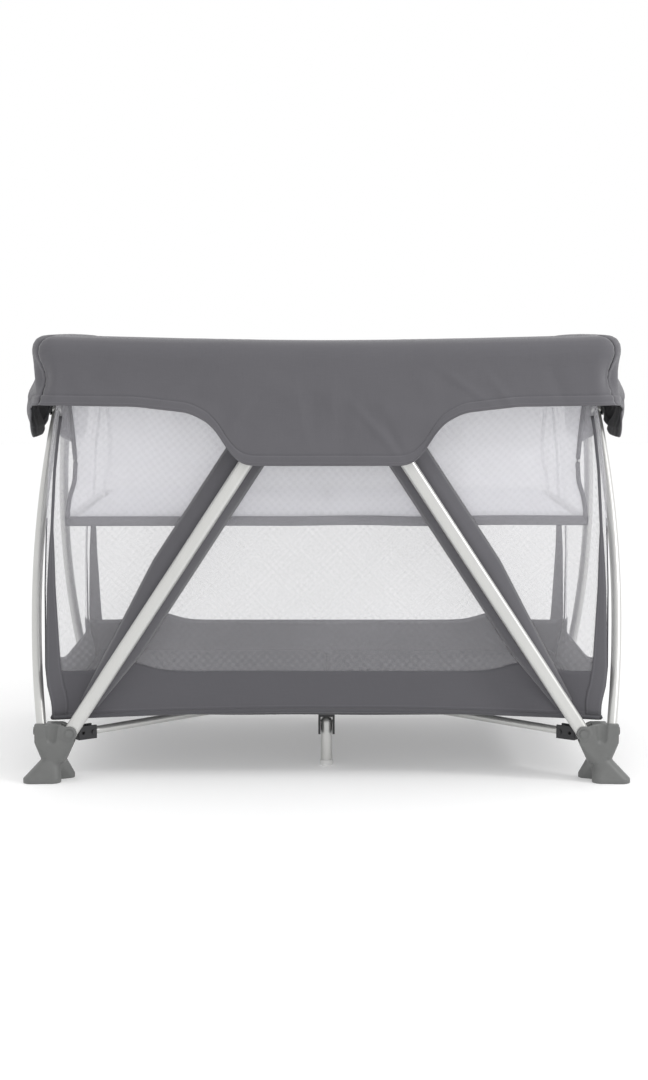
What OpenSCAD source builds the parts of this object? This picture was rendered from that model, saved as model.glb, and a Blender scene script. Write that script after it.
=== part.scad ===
// Folding playpen: zig-zag tube frame, fabric walls, hanging bassinet and folding mattress.
// Origin on the floor under the middle, +X along the length, -Y towards the front, +Z up.
// Corner parts are drawn for the corner at +X +Y and mirrored to the other three.

/* [Base] */
// Half distance between the long legs' foot pivots, along the length
foot_x = 452; // [440:1:460]
// Half distance between the end legs' foot pivots, across the width
foot_y = 340; // [335:1:345]
// Height of the leg pivots in the feet
foot_z = 88; // [86:1:92]
// Half distance along the length between the base spokes' outer pivots
spoke_x = 420; // [416:1:424]
// Half distance across the width between the base spokes' outer pivots
spoke_y = 321; // [318:1:324]
// Height of the base spokes' outer pivots
spoke_z = 84; // [82:1:86]
// Height of the base spokes' pivots in the middle hub
hub_z = 98; // [96:1:100]
// Diameter of a base spoke
spoke_d = 14; // [12:1:14]
// Turn of a base spoke from open to folded, in degrees
spoke_fold = 83.8; // [82:0.1:84]

/* [Legs] */
// Height of the long legs' upper pivots
long_hub_z = 629; // [619:1:639]
// Height of the end legs' upper pivots
end_hub_z = 647; // [639:1:654]
// Plane of the long legs, from the middle
long_leg_y = 358; // [357:1:359]
// Plane of the end legs' pivots, from the middle
end_leg_x = 504; // [503:1:505]
// Outward bow of the end legs
end_leg_bow = 22; // [15:1:24]
// Width of a long leg tube, seen from the front
leg_w = 25; // [24:1:27]
// Thickness of a leg tube
leg_t = 17; // [15:1:18]

/* [Top rails] */
// Plane of the long rails, from the middle
long_rail_y = 334; // [333:1:335]
// Plane of the end rails, from the middle
end_rail_x = 480; // [479:1:481]
// Height of the long rails
long_rail_z = 759; // [757:1:760]
// Height of the end rails, which rest on the corners
end_rail_z = 774; // [773:1:775]
// Half distance between the long rails' pivots in a long hub
rail_hub_x = 60; // [56:1:64]
// Width of a rail tube
rail_w = 20; // [18:1:20]
// Height of a rail tube
rail_h = 14; // [13:1:14]
// Half length of the rim inside its corners
corner_x = 500; // [498:1:502]

/* [Fabric and pads] */
// Half length of the fabric body at the bottom
wall_x = 485; // [480:1:486]
// Half width of the fabric body at the bottom
wall_y = 331; // [328:1:332]
// Height of the fabric body's lower edge
wall_z = 106; // [106:1:107]
// Thickness of the fabric
skin = 1.5; // [1.2:0.1:2]
// Thickness of the mattress
mattress_t = 21; // [18:1:24]
// Height of the bassinet's floor
bassinet_z = 450; // [445:1:455]
// Half length of the bassinet's floor
bassinet_x = 440; // [430:1:442]
// Half width of the bassinet's floor
bassinet_y = 300; // [290:1:302]
// Height of the flap's lower edge at the corners
flap_z = 669; // [659:1:679]
// Height of the lower edge of the long flap's tongue
tongue_z = 561; // [554:1:569]
// Half width of the long flap's tongue
tongue_x = 138; // [130:1:145]

/* [Fits] */
// Radius of a pin
pin_r = 4; // [3.5:0.5:4.5]
// Radial gap between a pin and its hole
running = 0.05; // [0.02:0.01:0.08]
// Gap between plates and the tube ends that turn between them
side_gap = 0.4; // [0.3:0.1:0.6]

/* [Hidden] */

$fn = 48;
hole_r = pin_r + running;

// The spokes set how far the corners travel inwards when the frame folds.
hub_dx = 35;
hub_dy = hub_dx * spoke_y / spoke_x;
spoke_run = norm([spoke_x - hub_dx, spoke_y - hub_dy]);
spoke_turn = atan2(spoke_y - hub_dy, spoke_x - hub_dx);
spoke_len = norm([spoke_run, hub_z - spoke_z]);
spoke_rise = atan2(hub_z - spoke_z, spoke_run);
travel = spoke_run - spoke_len * cos(spoke_rise + spoke_fold);
travel_x = travel * cos(spoke_turn);
travel_y = travel * sin(spoke_turn);

// Each leg leans inwards by exactly that travel, so it stands upright when folded.
long_hub_x = foot_x - travel_x;
end_hub_y = foot_y - travel_y;
long_leg_len = norm([travel_x, long_hub_z - foot_z]);
long_leg_tilt = atan2(travel_x, long_hub_z - foot_z);
end_leg_len = norm([travel_y, end_hub_z - foot_z]);
end_leg_tilt = atan2(travel_y, end_hub_z - foot_z);

// A long rail folds straight down; an end rail ends at the same corner, so its length follows.
long_rail_len = travel_x;
corner_pivot_x = rail_hub_x + long_rail_len;
corner_drop = long_rail_len - (long_leg_len - (long_hub_z - foot_z));
end_rail_drop = corner_drop + end_leg_len - (end_hub_z - foot_z);
end_rail_fold = 2 * atan2(travel_y, end_rail_drop);
end_rail_len = end_rail_drop / sin(end_rail_fold);
rail_hub_y = long_rail_y - end_rail_len;

plate_t = 3.8;
leg_gap = leg_t / 2 + side_gap;
rail_gap = rail_w / 2 + side_gap;
rail_pin_r = 3;
rail_hole_r = rail_pin_r + running;
foot_pin_wall = 3.7;
arm_y = 40;
arm_end_y = 215;
center_leg_z = 80;
center_leg_r = 10.5;
hub_top_z = 108;
floor_z = hub_top_z + 0.5;
mattress_z = floor_z + skin + 0.5;
mattress_hinge_x = 38;
rim_y = 373;
rim_x = 516;
end_bulge_x = 528;

// ---- helpers ----
module quadrant(sx, sy)
  mirror([sx < 0 ? 1 : 0, 0, 0]) mirror([0, sy < 0 ? 1 : 0, 0]) children();

module oval(w, t) {
  square([w - t, t], center = true);
  for (s = [-1, 1]) translate([s * (w - t) / 2, 0]) circle(d = t);
}

module along_x(r, x0, x1, y, z) translate([x0, y, z]) rotate([0, 90, 0]) cylinder(r = r, h = x1 - x0);
module along_y(r, y0, y1, x, z) translate([x, y1, z]) rotate([90, 0, 0]) cylinder(r = r, h = y1 - y0);
module box(x0, x1, y0, y1, z0, z1) translate([x0, y0, z0]) cube([x1 - x0, y1 - y0, z1 - z0]);
module plate_xz(y0, y1, outline) translate([0, y1, 0]) rotate([90, 0, 0]) linear_extrude(y1 - y0) polygon(outline);
module plate_yz(x0, x1, outline)
  translate([x0, 0, 0]) rotate([90, 0, 90]) linear_extrude(x1 - x0) polygon(outline);
module spoke_frame() translate([spoke_x, spoke_y, spoke_z]) rotate([0, 0, spoke_turn]) children();

// ---- feet ----
module foot_shape() {
  // toe, splayed outwards
  hull() {
    translate([519, 364, 0]) cylinder(r = 16, h = 8, $fn = 32);
    translate([485, 361, 0]) cylinder(r = 17, h = 8, $fn = 32);
    translate([488, 352, 31]) cylinder(r = 17, h = 8, $fn = 32);
  }
  // heel, splayed inwards
  hull() {
    translate([461.5, 318, 0]) cylinder(r = 12.5, h = 8, $fn = 32);
    translate([483, 326, 0]) cylinder(r = 15, h = 8, $fn = 32);
    translate([476, 342, 30]) cylinder(r = 16, h = 8, $fn = 32);
  }
  // neck and body
  hull() {
    translate([482, 348, 34]) cylinder(r = 20.5, h = 4, $fn = 32);
    box(444, 514, 343, 369, 72, 96);
    box(466, 514, 332, 369, 76, 104);
  }
}
module foot(sx, sy) color([0.42, 0.43, 0.42]) quadrant(sx, sy)
  difference() {
    union() {
      foot_shape();
      for (side = [-1, 1])
        along_y(13, long_leg_y + (side < 0 ? -leg_gap - foot_pin_wall : leg_gap),
          long_leg_y + (side < 0 ? -leg_gap : leg_gap + foot_pin_wall), foot_x, foot_z);
      for (side = [-1, 1])
        along_x(14, end_leg_x + (side < 0 ? -leg_gap - foot_pin_wall : leg_gap),
          end_leg_x + (side < 0 ? -leg_gap : leg_gap + foot_pin_wall), foot_y, foot_z);
    }
    // pockets that the leg ends turn in
    box(foot_x - 60, foot_x + 15, long_leg_y - leg_gap, long_leg_y + leg_gap, foot_z - 15, 160);
    box(end_leg_x - leg_gap, end_leg_x + leg_gap, foot_y - 60, foot_y + 15, foot_z - 15, 160);
    // room for the end leg's bow, and a lower wall outside it
    box(end_leg_x, end_leg_x + leg_gap + 2, foot_y - 60, foot_y + 15, foot_z - 3.5, 160);
    box(end_leg_x, 560, foot_y - 60, foot_y + 15, foot_z + 9, 160);
    // thumb hollow in the front face
    hull() {
      translate([483, 377, 118]) sphere(r = 16, $fn = 32);
      translate([484, 373, 78]) sphere(r = 10, $fn = 32);
    }
    // bores for the pins
    along_y(hole_r, 330, 380, foot_x, foot_z);
    along_x(hole_r, 470, 530, foot_y, foot_z);
    // seat for the spoke bracket
    spoke_frame() box(-12, 31, -11, 11, -12.2, 12.2);
  }

module foot_fittings(sx, sy) color([0.12, 0.12, 0.13]) quadrant(sx, sy) {
  // bracket that holds the spoke
  spoke_frame() difference() {
    box(-6.5, 30, -10.8, 10.8, -12, 12);
    box(-40, 15, -spoke_d / 2 - side_gap, spoke_d / 2 + side_gap, -40, 40);
    along_y(hole_r, -20, 20, 0, 0);
    along_y(3, -20, 20, 21, 0);
  }
  // pins of the spoke, the long leg and the end leg
  spoke_frame() along_y(pin_r, -13, 13, 0, 0);
  long_face = long_leg_y + leg_gap + foot_pin_wall + 0.1;
  along_y(pin_r, long_leg_y - leg_gap - foot_pin_wall, long_face, foot_x, foot_z);
  along_y(pin_r + 3, long_face, long_face + 2, foot_x, foot_z);
  end_face = end_leg_x + leg_gap + foot_pin_wall + 0.1;
  along_x(pin_r, end_leg_x - leg_gap - foot_pin_wall, end_face, foot_y, foot_z);
  along_x(pin_r + 3, end_face, end_face + 2, foot_y, foot_z);
}

// ---- tubes ----
module base_spoke(sx, sy) color([0.75, 0.75, 0.75]) quadrant(sx, sy)
  spoke_frame() rotate([0, -90 + spoke_rise, 0]) difference() {
    union() {
      cylinder(d = spoke_d, h = spoke_len);
      for (z = [0, spoke_len]) translate([0, 0, z]) sphere(r = spoke_d / 2 - 0.1);
    }
    for (z = [0, spoke_len]) along_y(hole_r, -20, 20, 0, z);
  }

// The leg turns on a pin in the foot, and its upper pin is part of it.
module long_leg(sx, sy) color([0.78, 0.78, 0.77]) quadrant(sx, sy) difference() {
  union() {
    translate([foot_x, long_leg_y, foot_z]) rotate([0, -long_leg_tilt, 0])
      translate([0, 0, 2]) linear_extrude(long_leg_len - 4) oval(leg_w, leg_t);
    for (p = [[foot_x, foot_z], [long_hub_x, long_hub_z]])
      along_y(13, long_leg_y - leg_t / 2 + 0.2, long_leg_y + leg_t / 2 - 0.2, p[0], p[1]);
    along_y(pin_r, long_leg_y - leg_gap - plate_t, long_leg_y + leg_gap + plate_t, long_hub_x, long_hub_z);
  }
  along_y(hole_r, long_leg_y - 20, long_leg_y + 20, foot_x, foot_z);
}

module end_leg(sx, sy) color([0.78, 0.78, 0.77]) quadrant(sx, sy) {
  radius = (pow(end_leg_len / 2, 2) + pow(end_leg_bow, 2)) / (2 * end_leg_bow);
  sweep = 2 * asin(end_leg_len / 2 / radius);
  difference() {
    union() {
      translate([end_leg_x, foot_y, foot_z]) rotate([end_leg_tilt, 0, 0])
        translate([end_leg_bow - radius, 0, end_leg_len / 2]) rotate([90, 0, 0]) rotate([0, 0, -sweep / 2])
          rotate_extrude(angle = sweep, $fn = 480) translate([radius, 0]) oval_upright(leg_w, leg_t);
      for (p = [[foot_y, foot_z], [end_hub_y, end_hub_z]])
        along_x(13, end_leg_x - leg_t / 2 + 0.2, end_leg_x + leg_t / 2 - 0.2, p[0], p[1]);
      along_x(pin_r, end_leg_x - leg_gap - plate_t, end_leg_x + leg_gap + plate_t, end_hub_y, end_hub_z);
    }
    along_x(hole_r, end_leg_x - 20, end_leg_x + 20, foot_y, foot_z);
  }
}
module oval_upright(w, t) rotate(90) oval(w, t);

module long_rail(sx, sy) color([0.6, 0.6, 0.6]) quadrant(sx, sy)
  translate([rail_hub_x, long_rail_y, long_rail_z]) difference() {
    union() {
      translate([1, 0, 0]) rotate([90, 0, 90]) linear_extrude(long_rail_len - 2) oval(rail_w, rail_h);
      for (x = [0, long_rail_len]) along_y(rail_h / 2 - 0.1, -7, 7, x, 0);
    }
    for (x = [0, long_rail_len]) along_y(rail_hole_r, -20, 20, x, 0);
  }

module end_rail(sx, sy) color([0.6, 0.6, 0.6]) quadrant(sx, sy)
  translate([end_rail_x, rail_hub_y, end_rail_z]) difference() {
    union() {
      translate([0, end_rail_len, 0]) rotate([90, 0, 0])
        translate([0, 0, 1]) linear_extrude(end_rail_len - 1.5) oval(rail_w, rail_h);
      for (y = [0, end_rail_len]) along_x(rail_h / 2 - 0.1, -7, 7, y, 0);
    }
    along_x(rail_hole_r, -20, 20, 0, 0);
  }

// The corner turns on the long rail's end; the end rail rests on it.
module rail_corner(sx, sy) color([0.3, 0.3, 0.31]) quadrant(sx, sy)
  translate([0, long_rail_y, long_rail_z]) difference() {
    union() {
      box(corner_pivot_x - 8, corner_x - 18, -rail_gap - 3, rail_gap + 3, -7, 7);
      translate([corner_x - 19, 0, -7]) cylinder(r = rail_gap + 3, h = 14);
      along_y(rail_pin_r, -rail_gap - 1, rail_gap + 1, corner_pivot_x, 0);
    }
    difference() {
      box(corner_pivot_x - 30, corner_pivot_x + 8, -rail_gap, rail_gap, -20, 20);
      along_y(rail_pin_r, -40, 40, corner_pivot_x, 0);
    }
  }

// ---- side hubs ----
// Layers from the outside in: plate, legs, plate, rails, plate.
module leg_slot(u, z, side) {
  // the open side lets the leg's pin leave sideways while the frame folds
  length = 60;
  translate([side > 0 ? u : u - length, -50, z - hole_r - 0.1]) cube([length, 100, 2 * hole_r + 0.2]);
  translate([u, 50, z]) rotate([90, 0, 0]) cylinder(r = hole_r + 0.1, h = 100);
}
module hub_solid(leg_u, leg_z, rail_u, rail_z, leg_v, rail_v, top_z, open, below, relief) {
  outer_v = leg_v + leg_gap;
  mid_v = rail_v + rail_gap;
  inner_v = rail_v - rail_gap - plate_t;
  foot_u = leg_u + 17;
  function plate(top) = [[-foot_u, leg_z - below], [foot_u, leg_z - below], [foot_u, leg_z + 22],
    [rail_u + 16, top], [-rail_u - 16, top], [-foot_u, leg_z + 22]];
  upper = [[-rail_u - 16, rail_z - 60], [rail_u + 16, rail_z - 60], [rail_u + 16, top_z], [-rail_u - 16, top_z]];
  difference() {
    union() {
      plate_xz(outer_v, outer_v + plate_t, plate(top_z - 14));
      plate_xz(mid_v, leg_v - leg_gap, plate(top_z));
      plate_xz(inner_v, inner_v + plate_t, upper);
      box(-leg_u + 30, leg_u - 30, leg_v - leg_gap - 1, leg_v + leg_gap + 1, leg_z - below, top_z - 14);
      box(-rail_u + 9, rail_u - 9, rail_v - rail_gap - 1, rail_v + rail_gap + 1, rail_z - 60, top_z);
    }
    // room for the legs' bow
    for (side = [-1, 1])
      box(side * leg_u - 30, side * leg_u + 30, leg_v, outer_v + relief, leg_z - 40, leg_z + 3.5);
    for (side = [-1, 1]) {
      along_y(rail_hole_r, inner_v - 9, leg_v - leg_gap + 0.5, side * rail_u, rail_z);
      if (side == open) intersection() {
        leg_slot_at(side * leg_u, leg_z, side, leg_v);
        box(-200, 200, mid_v - 0.1, outer_v + plate_t + 1, leg_z - 10, leg_z + 10);
      }
      else along_y(hole_r, mid_v - 1, outer_v + plate_t + 1, side * leg_u, leg_z);
    }
  }
}
module leg_slot_at(u, z, side, v) translate([0, v, 0]) leg_slot(u, z, side);

module long_hub(sy) color([0.2, 0.2, 0.21]) mirror([0, sy < 0 ? 1 : 0, 0])
  hub_solid(long_hub_x, long_hub_z, rail_hub_x, long_rail_z, long_leg_y, long_rail_y, 766, 1,
    18, 0.1);
// Both end hubs keep their rear leg's pin free, so the open side is towards the rear.
module end_hub(sx) color([0.2, 0.2, 0.21]) mirror([sx < 0 ? 1 : 0, 0, 0]) rotate([0, 0, -90])
  hub_solid(end_hub_y, end_hub_z, rail_hub_y, end_rail_z, end_leg_x, end_rail_x, 781, -1,
    10, 2);

module rail_pins(u, v, z, v0, v1) for (side = [-1, 1]) along_y(rail_pin_r, v + v0, v + v1, side * u, z);
module long_hub_pins(sy) color([0.55, 0.55, 0.56]) mirror([0, sy < 0 ? 1 : 0, 0])
  rail_pins(rail_hub_x, long_rail_y, long_rail_z, -rail_gap - plate_t, rail_gap + 3);
module end_hub_pins(sx) color([0.55, 0.55, 0.56]) mirror([sx < 0 ? 1 : 0, 0, 0]) rotate([0, 0, -90])
  rail_pins(rail_hub_y, end_rail_x, end_rail_z, -rail_gap - plate_t, rail_gap + 3);

// ---- middle of the base ----
hub_r = 58;
hub_slot_r = 8.2;
module hub_spoke_frame(sx, sy) quadrant(sx, sy) rotate([0, 0, spoke_turn]) children();
hub_pivot_r = norm([hub_dx, hub_dy]);
module center_hub() color([0.14, 0.14, 0.15]) difference() {
  translate([0, 0, 86]) cylinder(r = hub_r, h = hub_top_z - 86);
  for (sx = [-1, 1], sy = [-1, 1]) hub_spoke_frame(sx, sy) {
    box(hub_pivot_r - hub_slot_r, 80, -spoke_d / 2 - side_gap, spoke_d / 2 + side_gap, 80, hub_z + 7.6);
    along_y(hole_r, -16, 16, hub_pivot_r, hub_z);
  }
  for (sy = [-1, 1]) mirror([0, sy < 0 ? 1 : 0, 0]) {
    box(-8.4, 8.4, arm_y - hub_slot_r, 80, 80, hub_z + 7.6);
    along_x(hole_r, -13, 13, arm_y, hub_z);
  }
  translate([0, 0, 98]) cylinder(r = 19, h = 20);
  translate([0, 0, 80]) cylinder(r = 5 + running, h = 30);
}
module center_hub_pins() color([0.55, 0.55, 0.56]) {
  for (sx = [-1, 1], sy = [-1, 1]) hub_spoke_frame(sx, sy) along_y(pin_r, -15, 15, hub_pivot_r, hub_z);
  for (sy = [-1, 1]) along_x(pin_r, -12, 12, sy * arm_y, hub_z);
}
module hub_handle() color([0.7, 0.2, 0.15]) difference() {
  union() {
    translate([0, 0, 98.2]) cylinder(r = 18.5, h = hub_top_z - 98.2);
    translate([0, 0, 86.5]) cylinder(r = 5, h = 20);
  }
  for (s = [-1, 1]) translate([s * 11, 0, 90]) cylinder(r = 4, h = 30);
}

module center_arm(sy) color([0.14, 0.14, 0.15]) mirror([0, sy < 0 ? 1 : 0, 0]) difference() {
  union() {
    translate([0, arm_end_y - 10, hub_z]) rotate([90, 0, 0]) linear_extrude(arm_end_y - arm_y - 10)
      oval(16, 12);
    along_x(6, -8, 8, arm_y, hub_z);
    // clevis with a V-shaped gap in its cheeks
    for (side = [-1, 1]) plate_yz(side < 0 ? -15 : 11, side < 0 ? -11 : 15,
      [[arm_end_y - 15, 104], [arm_end_y - 15, 60], [arm_end_y - 9, 60], [arm_end_y, 68], [arm_end_y + 9, 60],
       [arm_end_y + 15, 60], [arm_end_y + 15, 104]]);
    box(-15, 15, arm_end_y - 15, arm_end_y + 15, 92, 104);
  }
  along_x(hole_r, -20, 20, arm_y, hub_z);
  along_x(hole_r, -20, 20, arm_end_y, center_leg_z);
}
module center_leg(sy) color([0.78, 0.78, 0.77]) mirror([0, sy < 0 ? 1 : 0, 0]) translate([0, arm_end_y, 0]) {
  cylinder(r = center_leg_r, h = center_leg_z);
  translate([0, 0, center_leg_z]) sphere(r = center_leg_r - 0.1);
  along_x(pin_r, -15, 15, 0, center_leg_z);
}

// ---- fabric body: wall, rim and outer flap of each side ----
long_wall_top_y = 316;
end_wall_top_x = 463;
wall_top = 751;
end_rim_z = 783;
module cover_long(sy) color([0.42, 0.42, 0.44]) mirror([0, sy < 0 ? 1 : 0, 0]) {
  plate_yz(-wall_x, wall_x, [[wall_y, wall_z], [wall_y + skin, wall_z], [long_wall_top_y + skin, wall_top],
    [long_wall_top_y, wall_top]]);
  box(-end_wall_top_x, end_wall_top_x, long_wall_top_y, long_wall_top_y + skin, wall_top - 1, 770);
  box(-end_wall_top_x, end_wall_top_x, long_wall_top_y, rim_y + skin, 768.5, 770);
  plate_xz(rim_y, rim_y + skin, [[-rim_x + 3, 781], [-rim_x + 3, flap_z], [-tongue_x - 60, flap_z - 5],
    [-tongue_x - 20, flap_z - 25], [-tongue_x, tongue_z + 14], [-tongue_x + 14, tongue_z],
    [tongue_x - 14, tongue_z], [tongue_x, tongue_z + 14], [tongue_x + 20, flap_z - 25],
    [tongue_x + 60, flap_z - 5], [rim_x - 3, flap_z], [rim_x - 3, 781], [200, 770], [-200, 770]]);
}
module cover_end(sx) color([0.42, 0.42, 0.44]) mirror([sx < 0 ? 1 : 0, 0, 0]) {
  plate_xz(-long_wall_top_y + 1, long_wall_top_y - 1, [[wall_x - 2, wall_z], [wall_x - 2 + skin, wall_z],
    [end_wall_top_x + skin, wall_top], [end_wall_top_x, wall_top]]);
  box(end_wall_top_x, end_wall_top_x + skin, -long_wall_top_y + 1, long_wall_top_y - 1, wall_top - 1, end_rim_z);
  flap_outline = [[rim_x, -rim_y + 2], [end_bulge_x, -90], [end_bulge_x, 90], [rim_x, rim_y - 2],
    [rim_x - skin, rim_y - 2], [end_bulge_x - skin, 90], [end_bulge_x - skin, -90], [rim_x - skin, -rim_y + 2]];
  translate([0, 0, flap_z]) linear_extrude(end_rim_z - flap_z) polygon(flap_outline);
  box(end_bulge_x - skin, end_bulge_x, -90, 90, flap_z - 60, flap_z + 1);
  translate([0, 0, end_rim_z - skin]) linear_extrude(skin) polygon([[end_wall_top_x, -rim_y + 2],
    [rim_x, -rim_y + 2], [end_bulge_x, -90], [end_bulge_x, 90], [rim_x, rim_y - 2], [end_wall_top_x, rim_y - 2]]);
}
module floor_cloth() color([0.35, 0.35, 0.37])
  box(-wall_x + 4, wall_x - 4, -wall_y + 4, wall_y - 4, floor_z, floor_z + skin);

module mattress(sx) color([0.38, 0.38, 0.4]) mirror([sx < 0 ? 1 : 0, 0, 0])
  box(0.5, wall_x - 8, -wall_y + 8, wall_y - 8, mattress_z, mattress_z + mattress_t);

// ---- bassinet ----
module bassinet_long(sy) color([0.8, 0.8, 0.83]) mirror([0, sy < 0 ? 1 : 0, 0])
  plate_yz(-bassinet_x, bassinet_x, [[bassinet_y + 1, bassinet_z], [bassinet_y + 1 + skin, bassinet_z],
    [long_wall_top_y - 2, 766], [long_wall_top_y - 2 - skin, 766]]);
module bassinet_end(sx) color([0.8, 0.8, 0.83]) mirror([sx < 0 ? 1 : 0, 0, 0])
  plate_xz(-bassinet_y, bassinet_y, [[bassinet_x + 1, bassinet_z], [bassinet_x + 1 + skin, bassinet_z],
    [end_wall_top_x - 2, 766], [end_wall_top_x - 2 - skin, 766]]);
module bassinet_pad(sx) color([0.72, 0.72, 0.75]) mirror([sx < 0 ? 1 : 0, 0, 0])
  box(0.5, bassinet_x - 2, -bassinet_y + 2, bassinet_y - 2, bassinet_z, bassinet_z + 24);

foot(-1, -1);  // foot_fl
foot(1, -1);  // foot_fr
foot(-1, 1);  // foot_rl
foot(1, 1);  // foot_rr
foot_fittings(-1, -1);  // foot_fittings_fl
foot_fittings(1, -1);  // foot_fittings_fr
foot_fittings(-1, 1);  // foot_fittings_rl
foot_fittings(1, 1);  // foot_fittings_rr
base_spoke(-1, -1);  // base_spoke_fl
base_spoke(1, -1);  // base_spoke_fr
base_spoke(-1, 1);  // base_spoke_rl
base_spoke(1, 1);  // base_spoke_rr
long_leg(-1, -1);  // long_leg_fl
long_leg(1, -1);  // long_leg_fr
long_leg(-1, 1);  // long_leg_rl
long_leg(1, 1);  // long_leg_rr
end_leg(-1, -1);  // end_leg_fl
end_leg(1, -1);  // end_leg_fr
end_leg(-1, 1);  // end_leg_rl
end_leg(1, 1);  // end_leg_rr
long_rail(-1, -1);  // long_rail_fl
long_rail(1, -1);  // long_rail_fr
long_rail(-1, 1);  // long_rail_rl
long_rail(1, 1);  // long_rail_rr
end_rail(-1, -1);  // end_rail_fl
end_rail(1, -1);  // end_rail_fr
end_rail(-1, 1);  // end_rail_rl
end_rail(1, 1);  // end_rail_rr
rail_corner(-1, -1);  // rail_corner_fl
rail_corner(1, -1);  // rail_corner_fr
rail_corner(-1, 1);  // rail_corner_rl
rail_corner(1, 1);  // rail_corner_rr
long_hub(-1);  // front_hub
long_hub(1);  // rear_hub
end_hub(-1);  // left_hub
end_hub(1);  // right_hub
long_hub_pins(-1);  // front_hub_pins
long_hub_pins(1);  // rear_hub_pins
end_hub_pins(-1);  // left_hub_pins
end_hub_pins(1);  // right_hub_pins
center_hub();
center_hub_pins();
hub_handle();
center_arm(-1);  // center_arm_front
center_arm(1);  // center_arm_rear
center_leg(-1);  // center_leg_front
center_leg(1);  // center_leg_rear
cover_long(-1);  // cover_front
cover_long(1);  // cover_rear
cover_end(-1);  // cover_left
cover_end(1);  // cover_right
floor_cloth();
mattress(-1);  // mattress_left
mattress(1);  // mattress_right
bassinet_long(-1);  // bassinet_front
bassinet_long(1);  // bassinet_rear
bassinet_end(-1);  // bassinet_left
bassinet_end(1);  // bassinet_right
bassinet_pad(-1);  // bassinet_pad_left
bassinet_pad(1);  // bassinet_pad_right
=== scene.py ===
"""Looks of the folding playpen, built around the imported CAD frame. Metres; +X along the length, -Y to the front."""

import math

import bmesh
import bpy
import numpy as np
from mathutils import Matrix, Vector, noise


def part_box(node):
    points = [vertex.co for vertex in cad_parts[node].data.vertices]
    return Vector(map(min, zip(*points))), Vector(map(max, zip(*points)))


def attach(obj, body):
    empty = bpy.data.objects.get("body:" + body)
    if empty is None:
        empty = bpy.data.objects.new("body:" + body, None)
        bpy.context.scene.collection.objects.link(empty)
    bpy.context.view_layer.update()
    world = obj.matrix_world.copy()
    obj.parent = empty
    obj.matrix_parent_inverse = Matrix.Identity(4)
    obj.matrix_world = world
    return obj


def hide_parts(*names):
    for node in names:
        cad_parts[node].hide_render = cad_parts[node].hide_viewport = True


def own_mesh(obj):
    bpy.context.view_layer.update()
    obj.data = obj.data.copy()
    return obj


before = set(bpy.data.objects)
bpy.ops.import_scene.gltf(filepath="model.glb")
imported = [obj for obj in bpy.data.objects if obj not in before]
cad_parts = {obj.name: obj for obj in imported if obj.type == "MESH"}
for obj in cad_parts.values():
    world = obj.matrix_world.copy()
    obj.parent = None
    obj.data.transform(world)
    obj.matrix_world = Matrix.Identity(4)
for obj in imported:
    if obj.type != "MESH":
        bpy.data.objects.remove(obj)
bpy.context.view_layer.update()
CORNERS = {"fl": (-1, -1), "fr": (1, -1), "rl": (-1, 1), "rr": (1, 1)}
LONG_SIDES = {"front": -1, "rear": 1}
END_SIDES = {"left": -1, "right": 1}

# ---- places read from the frame ----
leg_low, leg_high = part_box("long_leg_rr")
LEG_Y = (leg_low.y + leg_high.y) / 2
wall_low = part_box("cover_rear")[0]
bass_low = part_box("bassinet_rear")[0]
floor_low, floor_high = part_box("floor_cloth")

# ---- the fabric body's measures ----
RIM_X = 0.514            # rim's outer half length
RIM_Y = 0.3755           # rim's outer half width
RIM_RADIUS = 0.045       # rim's corner radius, seen from above
RIM_MID_Z = 0.777        # top of the rim at the middle of a long side
RIM_END_Z = 0.7865       # top of the rim at the corners and ends
WALL_TOP = 0.751         # where the nets meet the rim
WALL_TOP_Y, WALL_BOTTOM_Y = 0.3163, 0.3315
WALL_TOP_X, WALL_BOTTOM_X = 0.4635, 0.484
WALL_BOTTOM_Z = wall_low.z + 0.001
BAND_TOP_Z = 0.197       # top of the lower band at the middle
# centres of the sloping tubes at their feet and hubs
LEG_FOOT = Vector((0.452, 0, 0.088))
LEG_HUB = Vector((0.0975, 0, 0.629))
END_LEG_FOOT = Vector((0, 0.340, 0.088))
END_LEG_HUB = Vector((0, 0.0691, 0.647))
END_LEG_X, END_LEG_BOW = 0.504, 0.022    # the end tubes' place and how far they bow outward


# ---------------------------------------------------------------- meshes
def smooth(mesh):
    for polygon in mesh.polygons:
        polygon.use_smooth = True


def new_piece(name, mesh, material):
    piece = bpy.data.objects.new(name, mesh)
    bpy.context.scene.collection.objects.link(piece)
    if material:
        mesh.materials.append(material)
    return piece


def ripple(p, scale, seed=0.0):
    """Smooth noise from -1 to 1 at a point."""
    return noise.noise(Vector((p[0] * scale + seed, p[1] * scale - seed, p[2] * scale + 2 * seed)))


def grid(name, rows, material, thickness=0.0, uv=None, closed=False):
    """A sheet through rows of points. uv holds (u, v) in metres for each point."""
    columns = len(rows[0])
    vertices = [p for row in rows for p in row]
    faces, loops = [], []
    span = columns if closed else columns - 1
    for i in range(len(rows) - 1):
        for j in range(span):
            k = (j + 1) % columns
            faces.append((i * columns + j, i * columns + k, (i + 1) * columns + k, (i + 1) * columns + j))
    mesh = bpy.data.meshes.new(name)
    mesh.from_pydata([tuple(v) for v in vertices], [], faces)
    layer = mesh.uv_layers.new(name="UVMap")
    flat = uv and [q for row in uv for q in row]
    if not flat:
        flat = []
        for i, row in enumerate(rows):
            u = 0.0
            for j, p in enumerate(row):
                if j:
                    u += (Vector(p) - Vector(row[j - 1])).length
                above = flat[(i - 1) * columns + j][1] if i else 0.0
                step = (Vector(p) - Vector(rows[i - 1][j])).length if i else 0.0
                flat.append((u, above + step))
    for polygon in mesh.polygons:
        for loop in polygon.loop_indices:
            layer.data[loop].uv = flat[mesh.loops[loop].vertex_index]
    smooth(mesh)
    piece = new_piece(name, mesh, material)
    if thickness:
        thicken(piece, thickness)
    return piece


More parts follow.
